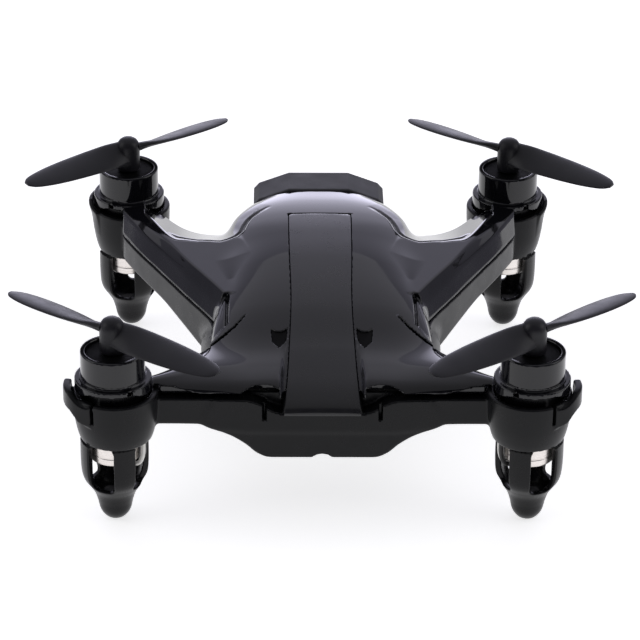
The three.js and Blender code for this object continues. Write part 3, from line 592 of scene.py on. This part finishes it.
def shell_field(x, y, z):
    ax = np.sqrt(x * x + 0.01)
    off, along = beside_path(ax, y, BROW)
    ease = np.clip(along * 5, 0, 1)
    step = 0.3 * ease * (1 - np.exp(-relu(off, 0.1) / 1.2)) * np.exp(-relu(off, 0.1) / 5)
    groove = 0.32 * ease * np.clip((1 - along) * 8, 0, 1) * np.exp(-((off / 0.34) ** 2))
    body = smax(body_arch(ax, y, z + step + groove) + cheek_depth(ax, y), NOSE_Y - y, 2.6)
    f = smin(body, front_arm_top(ax, y, z), 1.3)
    f = smin(f, rear_arm_top(ax, y, z + groove), 0.35 + 1.4 * np.clip((y + 2) / 6, 0, 1))
    f = meet(0.3, f, y - SHELL_TAIL_Y - 30 * (ax > 14))
    f = smax(f, -meet(0.2, z - undercut_top(ax), y - NOSE_Y - 1.3, 11.4 - ax), 0.15)
    off, along = beside_path(ax, y, SLASH)
    slash = meet(0.06, np.abs(off) - 0.03 - 0.3 * np.sqrt(along + 1e-6),
                 20.6 - 0.9 * along - z + 0.7 * (1 - along),
                 (along > 0.999) * 1.0 - 0.5, (along < 0.001) * 1.0 - 0.5)
    f = smax(f, -slash, 0.06)
    # tongue of the nose
    lip = 5.6 - 0.1 * np.maximum(0, y + 26)
    tongue = tongue_z(y)
    f = smax(f, -meet(0.8, ax - lip, tongue - z, y + 18.8), 0.8)
    plate = meet(0.2, z - tongue, tongue - 1.0 - z, ax - lip, LIP_Y - y, y + 18)
    f = smin(f, plate, 0.25)
    # hollow under the arch
    cavity = meet(0.3, body_arch(ax, y, z, WALL), NOSE_Y + NOSE_WALL - y, y - SHELL_TAIL_Y + WALL, ax - 12.6)
    f = smax(f, -cavity, 0.2)
    # eye hollows beside the tongue
    eye = meet(0.3, z - eye_roof(ax), ax - 12.3, 6.0 - ax, y + 27.0)
    f = smax(f, -eye, 0.25)
    # seat of the spine strip
    crown = np.where(y < -19.8, tongue_z(y), hood_z(y))
    seat = meet(0.06, ax - trim_half(y) - 0.04, crown - 0.55 - z, y - TRIM_TAIL_Y - 0.04)
    f = smax(f, -seat, 0.08)
    for sy in (-1, 1):
        r = around(ax, y, sy)
        lateral = np.abs(ax - POD) / np.maximum(r, 0.5)
        low = COLLAR_LOW - 0.9 * np.clip((lateral - 0.55) / 0.35, 0, 1)
        collar = meet(0.15, r - COLLAR_R, z - COLLAR_TOP, low - z)
        ring = meet(0.25, r - RING_R, z - RING_TOP, COLLAR_LOW - z)
        f = smin(f, smin(collar, ring, 0.25), 0.35)
        cup = meet(0.1, around(ax, y, sy, CUP_SHIFT) - 6.1, z - CUP_RIM - 0.25)
        sleeve = meet(0.2, r - SLEEVE_BORE, z - LEG_TOP - 0.3)
        f = smax(smax(smax(f, -cup, 0.1), -sleeve, 0.1), RING_BORE - r, 0.3)
        # pin hole in the front of the collar
        pin = np.sqrt((ax - POD - sy * 2.5) ** 2 + (z - 21.9) ** 2) - 0.36
        f = smax(f, -meet(0.05, pin, y - sy * POD + 3.4, sy * POD - 8 - y), 0.05)
    scoop = smax(polygon(ax, y, SCOOP_OUTLINE), 20.2 - z, 0.1)
    f = smax(f, -scoop, 0.1)
    return smax(f, SPLIT_Z + SEAM / 2 - z, 0.15)


tub_section = curve((9.8, 0.49), (10.6, 0.58), (11.9, 0.67), (13.1, 0.78), (13.8, 0.87), (14.7, 0.98),
                    (15.9, 1.0), (17.4, 0.97), (19.1, 0.9))
notch_top = curve((5.8, 17.0), (7.0, 17.4), (8.6, 18.4), (10.4, 19.0), (12.0, 19.2))
cup_radius = curve((13.0, 4.85), (13.4, 5.05), (14.4, 5.35), (16, 5.65), (18, 5.8), (20.3, 5.85))

# guard clips, over the angle from outboard: a hook in front, a lug at the rear
hook_top = curve((-14, 21.3), (22, 21.3), (33, 20.7), (41, 20.1), (50, 19.8), (62, 19.7))
hook_low = curve((-14, 18.7), (24, 18.7), (33, 18.2), (42, 17.2), (62, 16.8))
hook_out = curve((-14, 6.86), (18, 6.86), (33, 6.6), (45, 6.15), (60, 5.6))
hook_in = curve((-14, 5.8), (30, 5.8), (44, 5.1), (62, 4.8))
lug_out = curve((16.4, 5.2), (17.6, 5.4), (19.2, 5.75), (20.5, 6.12), (21.3, 6.14))


def hook(r, a, z):
    arc = (np.abs(a - 23) - 35) * r * math.pi / 180
    return meet(0.3, r - hook_out(a), hook_in(a) - r, z - hook_top(a), hook_low(a) - z, arc)


def lug(r, a, z):
    arc = (np.abs(a + 12) - 48) * r * math.pi / 180
    inside = 5.55 - r - 0.6 * relu(20.3 - z, 0.1) * 2
    top = 21.3 - 0.9 * np.clip((a - 4) / 30, 0, 1)
    return meet(0.3, r - lug_out(z), inside, z - top, 16.6 - z, arc)


def chassis_field(x, y, z):
    ax = np.sqrt(x * x + 0.01)
    wide = half_width(y) + tub_flare(y)
    side = (ax - wide * tub_section(z)) * 0.75
    f = meet(0.7, side, NOSE_Y - y, y - SHELL_TAIL_Y)
    f = smax(f, BELLY_Z - z, 0.4)
    front = meet(0.7, front_keel(ax) - z, -(y - NOSE_Y), -(front_inner(ax) - y), ax - 29)
    outer = (y - rear_outer(ax)) / rail_slope(rear_outer, ax)
    inner = (rear_inner(ax) - y) / rail_slope(rear_inner, ax)
    rear = meet(0.6, rear_keel(ax) - z, -outer, -inner, ax - 29.5)
    f = smin(smin(f, front, 1.0), rear, 1.0)
    top = z - SPLIT_Z + SEAM / 2
    f = smax(f, top, 0.15)
    cavity = meet(0.3, (ax - wide * tub_section(z - WALL) + WALL) * 0.75, NOSE_Y + NOSE_WALL - y,
                  y - SHELL_TAIL_Y + WALL, BELLY_Z + WALL - z)
    for sy in (-1, 1):
        rc = around(ax, y, sy, CUP_SHIFT)
        cup = meet(0.3, rc - cup_radius(z), CUP_LOW - z, z - CUP_RIM)
        f = smin(f, cup, 0.5)
        a = clip_angle(ax, y, sy)
        r = around(ax, y, sy)
        f = smin(f, hook(r, a, z) if sy < 0 else lug(r, a, z), 0.45)
        if sy < 0:
            slit = meet(0.05, np.abs(a - 60) * r * math.pi / 180 - 0.2, 4.8 - r, 17.4 - z)
            f = smax(f, -slit, 0.05)
        f = smax(f, -meet(0.1, r - SLEEVE_BORE, CUP_LOW - 2 - z), 0.2)
        f = smax(f, -meet(0.1, rc - CUP_BORE, 18.0 - z), 0.15)
    f = smax(f, -cavity, 0.2)
    # nose: room under the tongue, notches beside it, their short slots and the belly notch
    lip = 5.9 - 0.1 * np.maximum(0, y + 26)
    f = smax(f, -meet(0.15, ax - lip, tongue_z(y) - 1.3 - z, y + 18), 0.15)
    f = smax(f, -meet(0.25, notch_top(ax) - z, ax - 12.2, 5.5 - ax, y + 27.4), 0.2)
    f = smax(f, -meet(0.08, np.abs(ax - 8.0) - 0.25, y + 28.6, 16.0 - z), 0.08)
    f = smax(f, -meet(0.1, np.sqrt(x * x + (z - BELLY_Z + 1.2) ** 2) - 1.85, y + 26.6), 0.15)
    for sx, sy in ((6.2, -21.5), (6.2, 16.8)):
        well = np.sqrt((ax - sx) ** 2 + (y - sy) ** 2)
        f = smax(f, -meet(0.1, well - 1.75, z - BELLY_Z - 1.2), 0.15)
        f = smax(f, -meet(0.1, well - 0.9, z - 17), 0.1)
    vent = meet(0.6, np.abs(ax - 9.45) - 2.05, np.abs(y + 5.5) - 7.0, z - 14.4)
    f = smax(f, -vent, 0.15)
    slot = meet(0.1, np.abs(x) - 3.0, np.abs(y - 19.4) - 1.1, z - BELLY_Z - 1.5)
    return smax(f, -slot, 0.15)


leg_outside = curve((0.0, 0.0), (0.12, 0.9), (0.6, 1.6), (1.5, 2.15), (3.0, 2.5), (4.35, 2.95), (5.45, 3.6),
                    (6.55, 4.3), (7.6, 4.6), (9.7, 4.72), (12.8, 4.72))
leg_inside = curve((3.6, 0.0), (4.1, 1.7), (5.6, 2.8), (6.9, 3.5), (8.2, 3.8))


def leg_field(first, lead):
    """Leg of a left pod about its own axis; first and lead are degrees from +X."""

    def field(x, y, z):
        r = np.sqrt(x * x + y * y + 1e-6)
        sleeve = np.where(z > CUP_LOW - 0.3, 4.3, leg_outside(z))
        f = meet(0.12, (r - sleeve) * 0.85, -z, z - LEG_TOP)
        f = smax(f, -meet(0.15, (r - leg_inside(z)) * 0.85, 3.6 - z), 0.15)
        a = np.degrees(np.arctan2(y, x))
        turn = (a - first + 45) % 90 - 45
        window = meet(0.9, np.abs(turn) * r * math.pi / 180 - 0.436 * r, 5.7 - z, z - 12.9)
        f = smax(f, -smax(window, 0.7 - r, 0.1), 0.22)
        off = (a - lead + 180) % 360 - 180
        slot = meet(0.2, np.abs(off) * r * math.pi / 180 - 1.1, 11.9 - z, 2.6 - r)
        return smax(f, -slot, 0.1)

    return field


def tail_field(x, y, z):
    ax = np.abs(x)
    back = np.maximum(0, y - (TAIL_Y1 - 1.3))
    inset = 0.55 * back**1.4
    corners = [(-1.0, TAIL_TOP), (4.5, TAIL_TOP), (9.0, TAIL_TOP - 1.7), (9.8, TAIL_TOP - 2.6), (9.8, 14.2),
               (7.8, 12.2), (-1.0, 12.2)]
    section = polygon(ax, z, corners)
    f = meet(0.35, section + inset, y - TAIL_Y1, TAIL_Y0 - y)
    cavity = meet(0.2, section + WALL, y - TAIL_Y1 + WALL)
    f = smax(f, -cavity, 0.15)
    mouth = meet(0.5, ax - 4.1, np.abs(z - 16.4) - 1.7, TAIL_Y1 - 3 - y)
    return smax(f, -mouth, 0.2)


# ---------------------------------------------------------------- mouldings
def build_mouldings():
    reach = POD + 7.2
    moulded("upper_shell_visual", shell_field, (-reach, -reach, 18.8), (reach, reach, RING_TOP), SHELL_CELL,
            "airframe", GLOSS, ["upper_shell"])
    moulded("lower_chassis_visual", chassis_field, (-reach, -reach, BELLY_Z), (reach, reach, 21.2),
            SHELL_CELL, "airframe", CHASSIS, ["lower_chassis"])
    moulded("tail_cover_visual", tail_field, (-10, TAIL_Y0, 12.2), (10, TAIL_Y1, TAIL_TOP), 0.2,
            "airframe", TAIL, ["tail_cover"])
    for front, (first, lead) in ((True, (-24, -11)), (False, (-15, -28))):
        field = leg_field(first, lead)
        low, high = (-LEG_REACH, -LEG_REACH, 0), (LEG_REACH, LEG_REACH, LEG_TOP)
        points, quads = surface(field, low, high, FINE_CELL)
        points, normals = settle(points, quads, field, FINE_CELL)
        for tag, sx, sy in PODS:
            if (sy < 0) != front:
                continue
            mirror = np.array([-sx, 1, 1])
            faces = quads if sx < 0 else quads[:, ::-1]
            piece(f"landing_leg_{tag}_visual", points * mirror + np.array([sx * POD, sy * POD, 0]), faces,
                  "airframe", LEG, [f"landing_leg_{tag}"], normals * mirror)


def build_trim():
    front, back = LIP_Y + 0.03, TRIM_TAIL_Y
    stations = np.concatenate([front + np.array([0, 0.06, 0.18, 0.4]),
                               np.linspace(front + 0.9, back - 0.9, 80),
                               back - np.array([0.5, 0.25, 0.08, 0])])
    rings = []
    for y in stations:
        half = float(trim_half(y)) - 0.7 * max(0, 1 - (back - y) / 0.7) ** 2
        crown = float(np.where(y < -19.8, tongue_z(y), hood_z(y)))
        crown -= 0.3 * max(0, 1 - (y - front) / 0.4) ** 2 + 0.15 * max(0, 1 - (back - y) / 0.25) ** 2
        across = [-1, -0.985, -0.95, -0.6, -0.3, 0, 0.3, 0.6, 0.95, 0.985, 1]
        edge = {1: 0.14, 0.985: 0.04}
        top = [(half * f, y, crown - 0.1 * f * f - edge.get(abs(f), 0)) for f in across]
        rings.append(top + [(half, y, crown - 0.45), (-half, y, crown - 0.45)])
    points, faces = loft(rings)
    piece("spine_trim_visual", points, faces, "airframe", TRIM, ["spine_trim"])


def build_vents():
    """Black inserts that fill the shoulder scoops to just under the skin."""
    for tag, side in (("left", -1), ("right", 1)):
        rings = []
        for drop in (0.9, 0.22):
            rings.append([(side * (SCOOP_X + (px - SCOOP_X) * 0.96), SCOOP_Y + (py - SCOOP_Y) * 0.96,
                           SPRING_Z + 0.965 * (float(hood_z(py)) - SPRING_Z) - drop)
                          for px, py in SCOOP_OUTLINE])
        points, faces = loft(rings)
        piece(f"shoulder_vent_{tag}_visual", points, faces, "airframe", VENT,
              [f"shoulder_vent_{tag}"])


# ---------------------------------------------------------------- motors and propellers
def build_motor(tag, x, y):
    can = [(0.9, CAN_TOP - 0.5), (CAN_R - 0.35, CAN_TOP - 0.5), (CAN_R - 0.35, CAN_LOW + 0.3),
           (CAN_R - 0.28, CAN_LOW + 0.04), (CAN_R - 0.16, CAN_LOW), (CAN_R - 0.04, CAN_LOW + 0.12),
           (CAN_R, CAN_LOW + 0.3), (CAN_R, CAN_LOW + 1.0), (CAN_R - 0.06, CAN_LOW + 1.08),
           (CAN_R - 0.06, CAN_LOW + 1.2), (CAN_R, CAN_LOW + 1.28), (CAN_R, CAN_TOP - 0.35),
           (CAN_R - 0.1, CAN_TOP - 0.1), (CAN_R - 0.35, CAN_TOP), (1.9, CAN_TOP), (1.8, CAN_TOP - 0.06),
           (0.9, CAN_TOP - 0.06)]
    points, faces = lathe(can, x, y)
    piece(f"motor_can_{tag}_visual", points, faces, "airframe", CAN, [f"motor_can_{tag}"])
    low = CAN_LOW + 0.2
    cap = [(0, low - 0.12), (0.7, low - 0.12), (0.8, low), (2.1, low), (2.25, low + 0.12), (2.8, low + 0.25),
           (2.95, low + 0.4), (2.95, low + 1.4), (0, low + 1.4)]
    points, faces = lathe(cap, x, y, 40)
    piece(f"motor_end_cap_{tag}_visual", points, faces, "airframe", CAP,
          [f"motor_end_cap_{tag}"])
    # Black disc on the can's top: painted shade that darkens the bore of the ring.
    plate = [(0.9, CAN_TOP + 0.02), (3.62, CAN_TOP + 0.02), (3.66, CAN_TOP + 0.08), (3.6, CAN_TOP + 0.16),
             (1.2, CAN_TOP + 0.24), (0.9, CAN_TOP + 0.2)]
    points, faces = lathe(plate, x, y, 48)
    piece(f"motor_shade_disc_{tag}_visual", points, faces, "airframe", VENT, [])
    dress(f"motor_shaft_{tag}", SHAFT)


def beside(route, distance):
    """Copy of a route moved sideways in plan; upright stretches keep the side of the point before."""
    side, out = (0.0, 0.0), []
    for n, point in enumerate(route):
        before, after = route[max(n - 1, 0)], route[min(n + 1, len(route) - 1)]
        run = (after[0] - before[0], after[1] - before[1])
        length = math.hypot(*run)
        if length > 0.5:
            side = (run[1] / length, -run[0] / length)
        out.append((point[0] + side[0] * distance, point[1] + side[1] * distance, point[2]))
    return out


def build_leads(tag, sx, sy):
    lead = math.radians(-11 if sy < 0 else -28)
    spoke = lead if sx < 0 else math.pi - lead
    x, y = sx * POD, sy * POD

    def orbit(r, z):
        return (x + r * math.cos(spoke), y + r * math.sin(spoke), z)

    inward = [(22.2, -28.0), (19.5, -26.6), (15.5, -23.6), (11, -19.4)] if sy < 0 else \
        [(24.4, 23.8), (22, 17.5), (17.5, 11.6), (12.2, 8.6)]
    route = [orbit(1.6, CAN_LOW - 0.15), orbit(2.4, CAN_LOW - 0.8), orbit(3.6, CAN_LOW - 0.6),
             orbit(LEAD_ORBIT, CAN_LOW + 1), orbit(LEAD_ORBIT, 13.5), orbit(LEAD_ORBIT, 16.8),
             orbit(LEAD_ORBIT + 1, 18.2)]
    route += [(sx * px, py, 18.5) for px, py in inward]
    for name, offset, material in (("black", -LEAD_SIDE, BLACK), ("white", LEAD_SIDE, WHITE)):
        points, faces = tube(beside(route, offset), LEAD_R)
        piece(f"motor_lead_{name}_{tag}_visual", points, faces, "airframe", material,
              [f"motor_lead_{name}_{tag}"])


BLADE_R, BLADE_Z, PARK_ANGLE = 18.6, 29.1, 38.5
chord_at = curve((1.2, 3.9), (2.6, 4.3), (4.6, 4.75), (7.5, 5.0), (11, 4.9), (14.2, 4.4), (16.6, 3.5),
                 (17.9, 2.5), (18.6, 1.15))
pitch_at = curve((1.2, 38), (2.6, 33), (4.6, 24), (7.5, 17.5), (11, 13.5), (14.2, 11), (16.6, 9.5), (18.8, 9))
thick_at = curve((1.2, 1.3), (2.6, 1.1), (4.6, 0.85), (7.5, 0.7), (11, 0.6), (14.2, 0.5), (18.8, 0.3))


def blade(x, y, heading, turn):
    along = np.array([math.cos(heading), math.sin(heading), 0])
    lead = np.array([-along[1] * turn, along[0] * turn, 0])
    up = np.array([0, 0, 1.0])
    rings = []
    tip = BLADE_R - 2.2 * (1 - np.sin(np.linspace(0.1, 1.5, 12)))
    radii = np.concatenate([np.linspace(0.9, 16.6, 40), tip])
    for r in radii:
        chord, thick, pitch = float(chord_at(r)), float(thick_at(r)), math.radians(float(pitch_at(r)))
        ring = []
        for a in np.arange(26) * 2 * math.pi / 26:
            u = chord / 2 * math.cos(a)
            v = thick / 2 * math.sin(a) * (1 + 0.3 * math.cos(a))
            v += 0.05 * chord * (1 - math.cos(a) ** 2) * 0.6
            flat = u * math.cos(pitch) - v * math.sin(pitch)
            rise = u * math.sin(pitch) + v * math.cos(pitch)
            ring.append(np.array([x, y, BLADE_Z]) + along * r + lead * flat + up * rise)
        rings.append(ring)
    return loft(rings)


def build_propeller(tag, sx, sy):
    x, y, turn = sx * POD, sy * POD, sx * sy
    hub = [(0, HUB_LOW), (1.6, HUB_LOW), (1.74, HUB_LOW + 0.14), (1.74, HUB_TOP - 1.75),
           (1.70, HUB_TOP - 1.3), (1.56, HUB_TOP - 0.85), (1.3, HUB_TOP - 0.45),
           (0.9, HUB_TOP - 0.17), (0.45, HUB_TOP - 0.04), (0, HUB_TOP)]
    park = math.radians(-PARK_ANGLE * turn)
    parts = [lathe(hub, x, y, 48), blade(x, y, park, turn), blade(x, y, park + math.pi, turn)]
    join_solids(f"propeller_{tag}_visual", parts, BODY_OF_POD[tag], BLADE,
                [f"propeller_{tag}"], (x, y))


def join_solids(name, parts, body, material, nodes, centre):
    """One mesh of several closed bodies that overlap, with the shaft's bore cut from below."""
    objects = []
    bore = lathe([(0, HUB_LOW - 1), (0.8, HUB_LOW - 1), (0.8, 30.5), (0, 30.5)], *centre, 24)
    for n, (points, faces) in enumerate([*parts, bore]):
        mesh = bpy.data.meshes.new(f"part_{n}")
        mesh.from_pydata((np.asarray(points) * MM * 100).tolist(), [], [list(f) for f in faces])
        obj = bpy.data.objects.new(f"part_{n}", mesh)
        bpy.context.scene.collection.objects.link(obj)
        objects.append(obj)
    first = objects[0]
    for other, kind in zip(objects[1:], ["UNION"] * (len(parts) - 1) + ["DIFFERENCE"]):
        mod = first.modifiers.new("join", "BOOLEAN")
        mod.object, mod.operation, mod.solver = other, kind, "EXACT"
    dg = bpy.context.evaluated_depsgraph_get()
    made = first.evaluated_get(dg).to_mesh()
    points = np.array([v.co for v in made.vertices]) / 100 / MM
    faces = [tuple(p.vertices) for p in made.polygons]
    first.evaluated_get(dg).to_mesh_clear()
    for obj in objects:
        bpy.data.objects.remove(obj)
    return piece(name, points, faces, body, material, nodes, crease=40)


# ---------------------------------------------------------------- small pieces that stay CAD
def dress_inside():
    dress("circuit_board", board_material())
    for chip in ("flight_chip", "radio_chip", "motion_sensor"):
        dress(chip, CHIP, 0.08)
    dress("battery_plug", PLUG, 0.15)
    dress("battery_cell", foil_material(), 0.4)
    dress("battery_lead_red", RED)
    dress("battery_lead_black", BLACK)
    dress("aerial_wire", WHITE)
    dress("switch_housing", PLATED, 0.12)
    dress("switch_slider", TAIL, 0.12)
    dress("charging_socket", PLATED, 0.12)
    for n in range(1, 5):
        dress(f"case_screw_{n}", SCREW, 0.04)


# ---------------------------------------------------------------- stage
def build_stage():
    mesh = bpy.data.meshes.new("floor")
    side, front, back = 0.16, -0.4, 0.6
    corners = [(-side, front, 0), (side, front, 0), (side, back, 0), (-side, back, 0)]
    mesh.from_pydata(corners, [], [(0, 1, 2, 3)])
    floor = bpy.data.objects.new("floor", mesh)
    bpy.context.scene.collection.objects.link(floor)
    m = Nodes("floor_white")
    tone = m.ramp(m.noise(8, 2), (0.3, (0.93, 0.93, 0.93)), (0.7, (0.95, 0.95, 0.95)))
    m.link(tone, m.shader.inputs["Base Color"])
    m.set(Roughness=0.9)
    m.shader.inputs["Specular IOR Level"].default_value = 0.1
    m.shader.inputs["Emission Color"].default_value = (1, 1, 1, 1)
    m.shader.inputs["Emission Strength"].default_value = 0.72
    mesh.materials.append(m.material)


def area(name, place, aim, size, power):
    """Square area light that faces the aim."""
    light = bpy.data.lights.new(name, "AREA")
    light.shape = "SQUARE"
    light.size = size
    light.energy = power
    obj = bpy.data.objects.new(name, light)
    bpy.context.scene.collection.objects.link(obj)
    obj.location = place
    direction = Vector(aim) - Vector(place)
    obj.rotation_mode = "QUATERNION"
    obj.rotation_quaternion = direction.to_track_quat("-Z", "Y")


def build_light():
    world = bpy.data.worlds.new("studio")
    bpy.context.scene.world = world
    world.use_nodes = True
    tree = world.node_tree
    place = tree.nodes.new("ShaderNodeTexCoord")
    split = tree.nodes.new("ShaderNodeSeparateXYZ")
    tree.links.new(place.outputs["Generated"], split.inputs["Vector"])
    ramp = tree.nodes.new("ShaderNodeValToRGB")
    # brightness by how far back the light comes from: dark behind the camera, bright behind the object
    shift = tree.nodes.new("ShaderNodeMapRange")
    shift.inputs["From Min"].default_value = -1.0
    shift.inputs["From Max"].default_value = 1.0
    tree.links.new(split.outputs["Y"], shift.inputs["Value"])
    tree.links.new(shift.outputs["Result"], ramp.inputs["Fac"])
    stops = [(0.0, 0.06), (0.3, 0.08), (0.5, 0.12), (0.76, 0.26), (0.9, 0.44),
             (0.95, 0.66), (0.98, 1.6), (1.0, 3.0)]
    elements = ramp.color_ramp.elements
    while len(elements) < len(stops):
        elements.new(0.5)
    for element, (position, level) in zip(elements, stops):
        element.position = position
        element.color = (level, level * 0.98, level * 1.2, 1)
    tree.links.new(ramp.outputs["Color"], tree.nodes["Background"].inputs["Color"])
    tree.nodes["Background"].inputs["Strength"].default_value = 1.0
    area("overhead", (0.0, 0.3, 1.6), (0, 0, 0), 3.2, 8.5)
    area("left", (-1.0, -0.1, 0.5), (0, 0, 0.01), 0.7, 2.0)
    area("right", (1.0, -0.1, 0.5), (0, 0, 0.01), 0.7, 2.0)


def build_camera():
    """The photograph's viewing angle, found from the places of the four pods and the feet."""
    tilt, swing, roll, distance = 0.49203, -0.016, 0.010, 491.97
    target = Vector((-0.019, 0, 15.67))
    back = Vector((math.sin(swing) * math.cos(tilt), -math.cos(swing) * math.cos(tilt), math.sin(tilt)))
    right = Vector((-back.y, back.x, 0)).normalized()
    up = back.cross(right)
    right, up = (math.cos(roll) * right + math.sin(roll) * up, -math.sin(roll) * right + math.cos(roll) * up)
    camera = bpy.data.objects.new("camera", bpy.data.cameras.new("camera"))
    bpy.context.scene.collection.objects.link(camera)
    camera.data.sensor_width = 36
    camera.data.lens = 190.26
    camera.data.clip_start, camera.data.clip_end = 0.05, 20
    turn = Matrix((right, up, back)).transposed().to_4x4()
    camera.matrix_world = Matrix.Translation((target + back * distance) * MM) @ turn
    bpy.context.scene.camera = camera


build_camera()
build_stage()
build_light()
build_mouldings()
build_trim()
build_vents()
for pod_tag, pod_sx, pod_sy in PODS:
    build_motor(pod_tag, pod_sx * POD, pod_sy * POD)
    build_leads(pod_tag, pod_sx, pod_sy)
    build_propeller(pod_tag, pod_sx, pod_sy)
dress_inside()
bpy.context.scene.view_settings.view_transform = "Standard"
